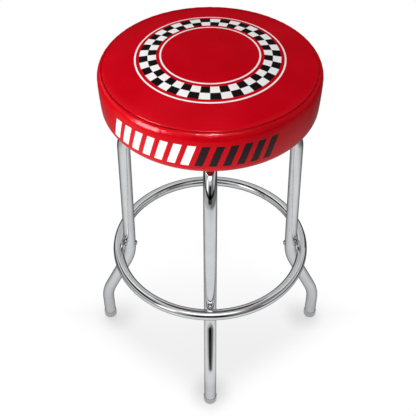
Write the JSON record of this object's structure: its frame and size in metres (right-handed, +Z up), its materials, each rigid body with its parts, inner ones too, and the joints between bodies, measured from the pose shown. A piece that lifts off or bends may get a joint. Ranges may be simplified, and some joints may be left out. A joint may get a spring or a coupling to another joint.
{
  "type": "swivel bar stool",
  "caption": "Bar stool with bent chrome tube legs, a chrome foot ring outside them, and a round padded red vinyl seat that turns on a ball-bearing swivel.",
  "frame": {"origin": "on the floor, on the centre line that the seat turns about", "axes": "+Z up along the swivel's centre line, +X towards the right-hand leg, -Y towards the front leg"},
  "size_m": [0.5034, 0.5034, 0.737],
  "materials": {
    "chrome_tube": "polished",
    "chrome_screw": "polished",
    "cap_plastic": "satin",
    "zinc_steel": "satin",
    "white_nylon": "satin",
    "ball_steel": "polished",
    "retainer_brass": "satin",
    "plywood": "matte",
    "foam": "matte",
    "red_vinyl_top": "gloss",
    "red_vinyl_band": "gloss",
    "black_cloth": "matte",
    "staple_wire": "satin"
  },
  "bodies": {
    "frame": {"leg_front": "chrome_tube", "leg_right": "chrome_tube", "leg_back": "chrome_tube", "leg_left": "chrome_tube", "glide_front": "cap_plastic", "glide_right": "cap_plastic", "glide_back": "cap_plastic", "glide_left": "cap_plastic", "foot_ring": "chrome_tube", "ring_screws": "chrome_screw", "ring_rivet_nuts": "zinc_steel", "frame_bolts": "zinc_steel", "frame_washers": "zinc_steel", "frame_nuts": "zinc_steel", "swivel_lower_plate": "zinc_steel", "pivot_rivet": "zinc_steel", "pivot_washer": "white_nylon"},
    "ball_cage": {"bearing_balls": "ball_steel", "ball_retainer": "retainer_brass"},
    "seat": {"swivel_upper_plate": "zinc_steel", "seat_screws": "zinc_steel", "tee_nuts": "zinc_steel", "seat_board": "plywood", "seat_foam": "foam", "seat_top_panel": "red_vinyl_top", "seat_side_band": "red_vinyl_band", "dust_cover": "black_cloth", "cover_staples": "staple_wire"}
  },
  "joints": [
    {"name": "seat_swivel", "type": "hinge", "parent": "frame", "child": "seat", "pos_m": [0, 0, 0.616], "axis": [0, 0, 1], "continuous": true},
    {"name": "cage_roll", "type": "hinge", "parent": "frame", "child": "ball_cage", "pos_m": [0, 0, 0.616], "axis": [0, 0, 1], "continuous": true}
  ],
  "couplings": [
    {"joint": "cage_roll", "follows": "seat_swivel", "ratio": 0.5}
  ]
}
